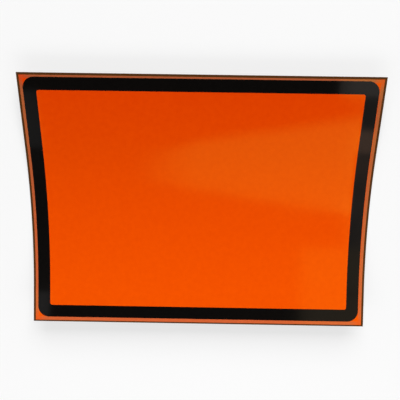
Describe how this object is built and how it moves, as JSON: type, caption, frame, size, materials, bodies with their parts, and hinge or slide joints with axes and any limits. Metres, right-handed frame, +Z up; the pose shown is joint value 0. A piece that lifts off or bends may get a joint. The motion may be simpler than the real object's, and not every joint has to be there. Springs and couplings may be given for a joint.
{
  "type": "dangerous goods warning plate",
  "caption": "Flexible rectangular magnetic warning plate with a plain orange reflective face, a black border frame and a soft bend about its long direction.",
  "frame": {"origin": "middle of the plate's outline, on the surface that it lies on", "axes": "+X along the long edges, to the right as the face is seen; +Y towards the upper long edge; +Z up, out of the orange face"},
  "size_m": [0.4, 0.2964, 0.025],
  "materials": {
    "magnetic_rubber": "dark brown flexible magnetic rubber, matte",
    "orange_film": "orange retroreflective film, smooth and glossy",
    "black_border": "black, smooth and glossy"
  },
  "bodies": {
    "root": {"magnetic_base": "magnetic_rubber", "orange_film": "orange_film", "black_border": "black_border"}
  },
  "joints": []
}
